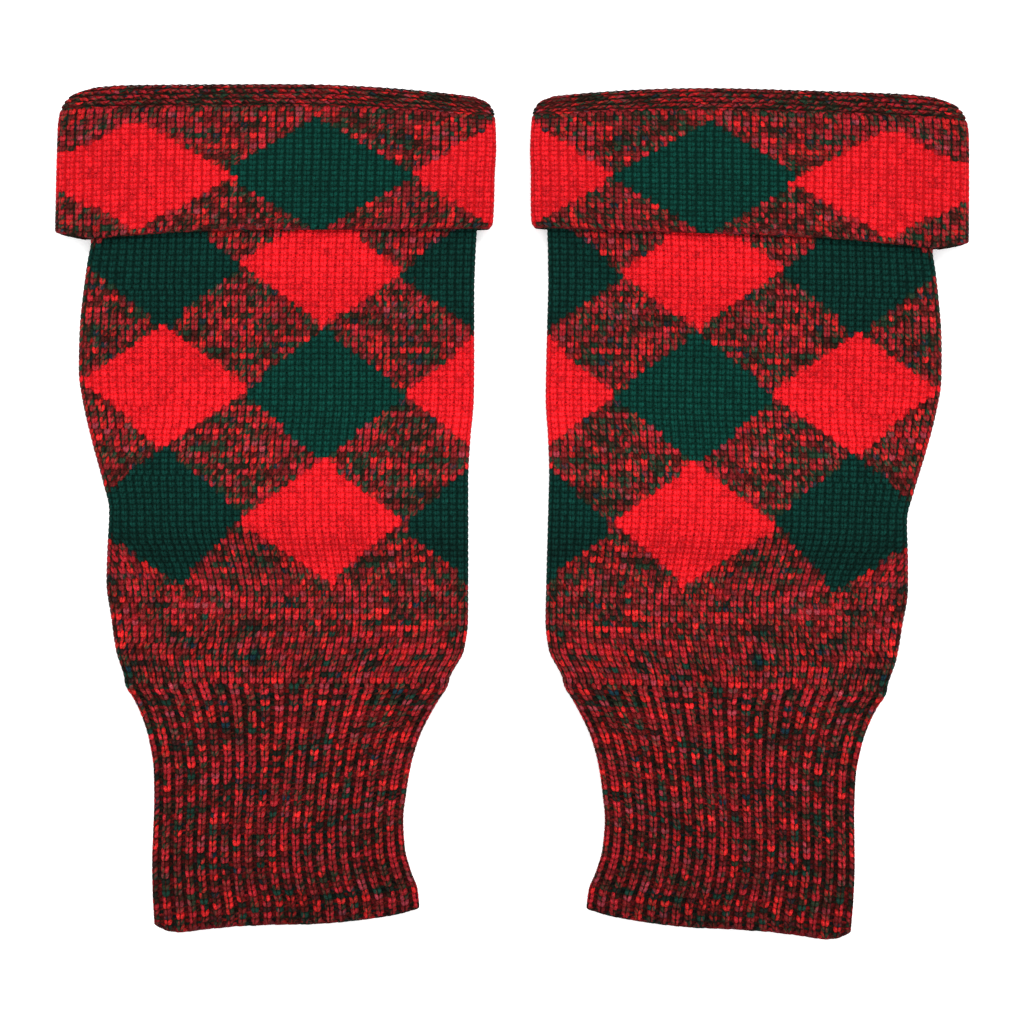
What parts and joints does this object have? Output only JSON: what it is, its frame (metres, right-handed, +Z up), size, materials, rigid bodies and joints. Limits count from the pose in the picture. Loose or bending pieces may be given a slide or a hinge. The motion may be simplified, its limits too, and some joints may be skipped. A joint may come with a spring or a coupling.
{
  "type": "pair of footless kilt hose tops",
  "caption": "Pair of footless diced kilt hose tops laid flat, each with a turned-down cuff, a shaped leg with red and green diamonds on marl, and a ribbed ankle.",
  "frame": {"origin": "centre of the pair's bounding box, on the surface that the pair lies on", "axes": "+X across the pair, from the left hose top to the right one, +Y from the ankles to the top folds, +Z up from the surface"},
  "size_m": [0.3952, 0.3688, 0.0128],
  "materials": {
    "cuff_knit": "matt wool knit, red and green diamonds on red and green marl",
    "leg_knit": "matt wool knit, red and green diamonds on red and green marl",
    "ribbing_knit": "matt wool knit, knit-one purl-one ribbing in red and green marl"
  },
  "bodies": {
    "root": {"left_cuff": "cuff_knit", "left_leg": "leg_knit", "left_ribbing": "ribbing_knit", "right_cuff": "cuff_knit", "right_leg": "leg_knit", "right_ribbing": "ribbing_knit"}
  },
  "joints": []
}
